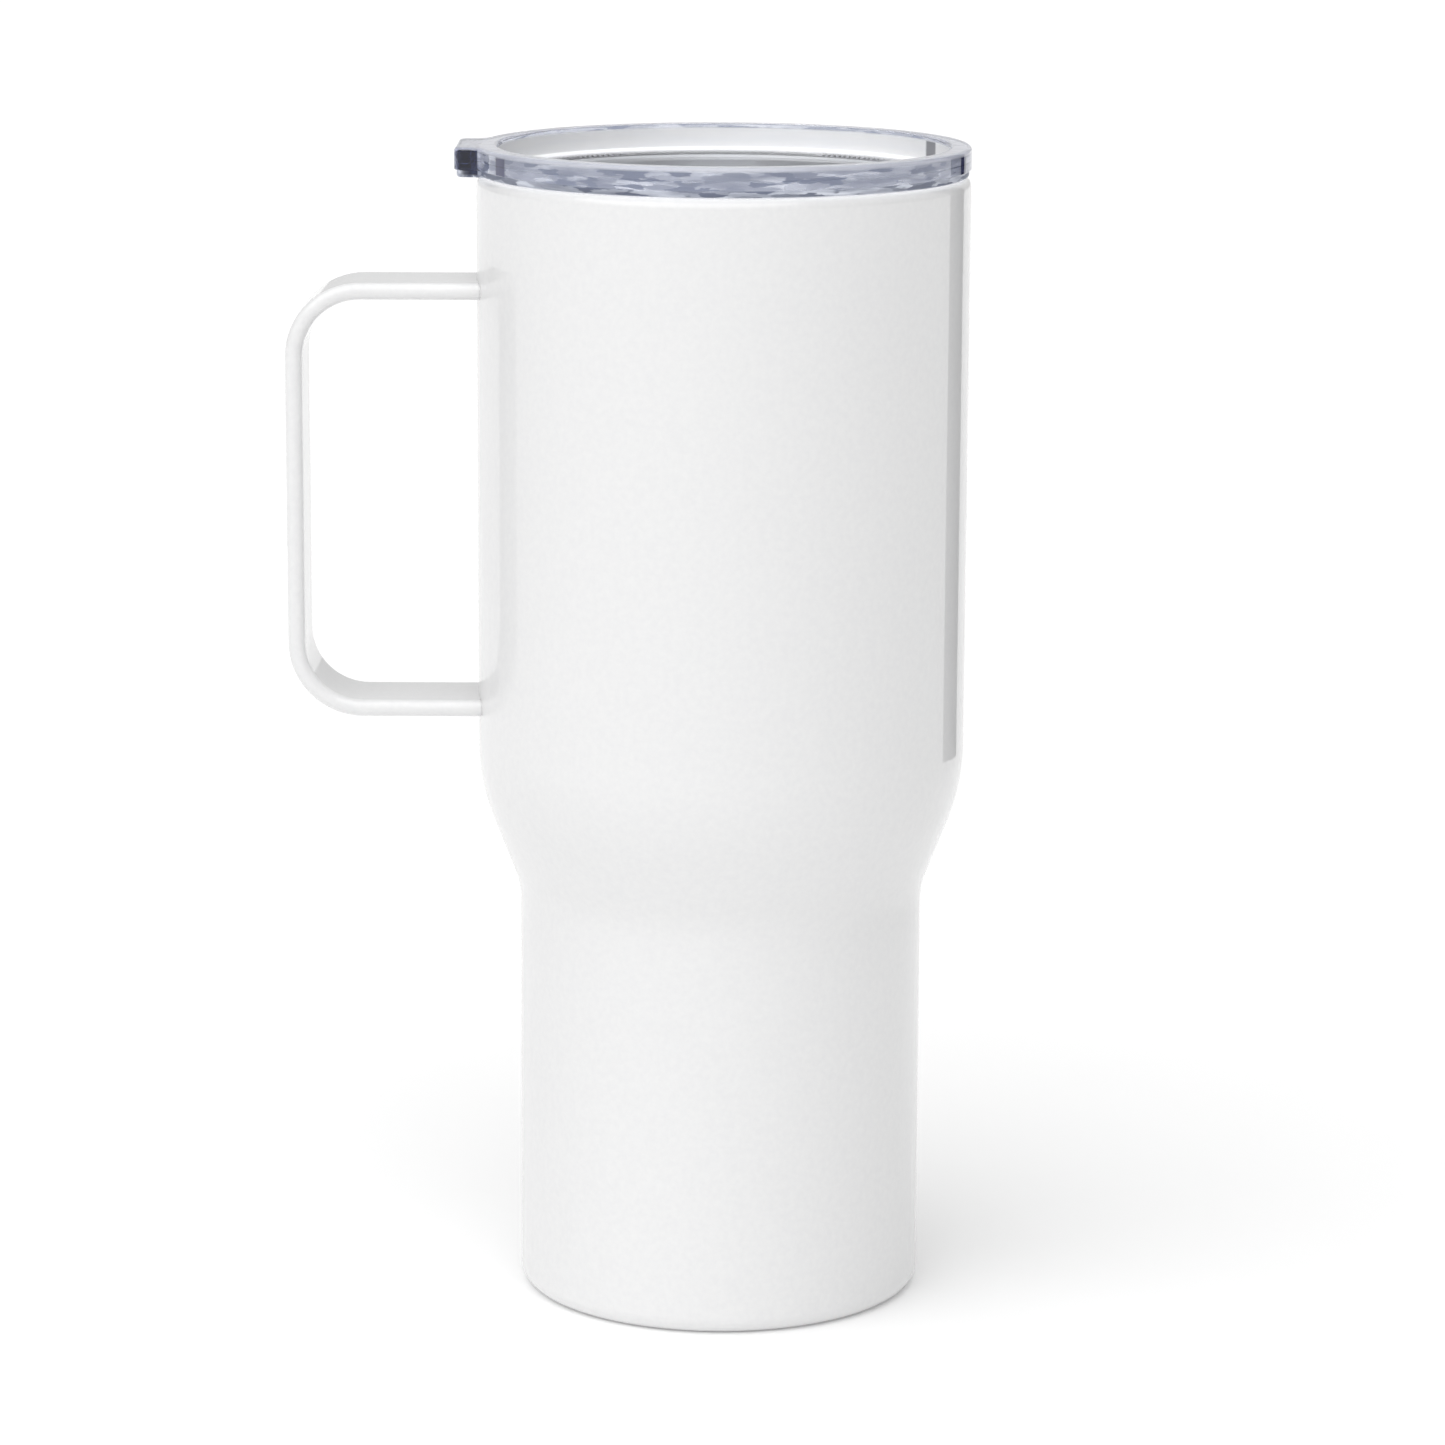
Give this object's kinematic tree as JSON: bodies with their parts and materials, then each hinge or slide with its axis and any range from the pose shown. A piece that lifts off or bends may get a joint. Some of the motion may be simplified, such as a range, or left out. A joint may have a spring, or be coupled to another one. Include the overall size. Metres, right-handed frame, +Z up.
{
  "type": "insulated travel mug",
  "caption": "Double-walled steel travel mug with a wide body, cup-holder base, flat-bar side handle and a clear press-in lid with a thumb tab and sliding closure.",
  "frame": {"origin": "centre of the base's flat face, on the surface that the mug stands on", "axes": "+Z up along the mug's axis, the handle towards -X, the drinking slot towards -Y"},
  "size_m": [0.1201, 0.0868, 0.2065],
  "materials": {
    "white_coat": "glossy white coat over steel",
    "brushed_steel": "brushed stainless steel",
    "plain_steel": "pressed stainless steel, unfinished",
    "sealing_glass": "dark sealing glass",
    "getter_metal": "sintered grey metal",
    "copper_foil": "bright copper foil",
    "clear_plastic": "clear moulded plastic with a faint blue tint",
    "frosted_plastic": "clear plastic",
    "silicone": "translucent silicone"
  },
  "bodies": {
    "mug": {"outer_shell": "white_coat", "liner_wall": "brushed_steel", "liner_bottom": "brushed_steel", "closing_plate": "plain_steel", "seal_bead": "sealing_glass", "getter_cup": "plain_steel", "getter_pellet": "getter_metal", "upper_foil": "copper_foil", "lower_foil": "copper_foil", "base_cap": "brushed_steel", "handle": "white_coat"},
    "lid": {"lid_body": "clear_plastic", "lid_gasket": "silicone"},
    "closure": {"slider": "frosted_plastic", "slider_seal": "silicone", "slider_retainer": "frosted_plastic"}
  },
  "joints": [
    {"name": "lid_lift", "type": "slide", "parent": "mug", "child": "lid", "axis": [0, 0, 1], "range_m": [0, 0.06]},
    {"name": "slider_travel", "type": "slide", "parent": "lid", "child": "closure", "axis": [0, 1, 0], "range_m": [0, 0.01]}
  ]
}
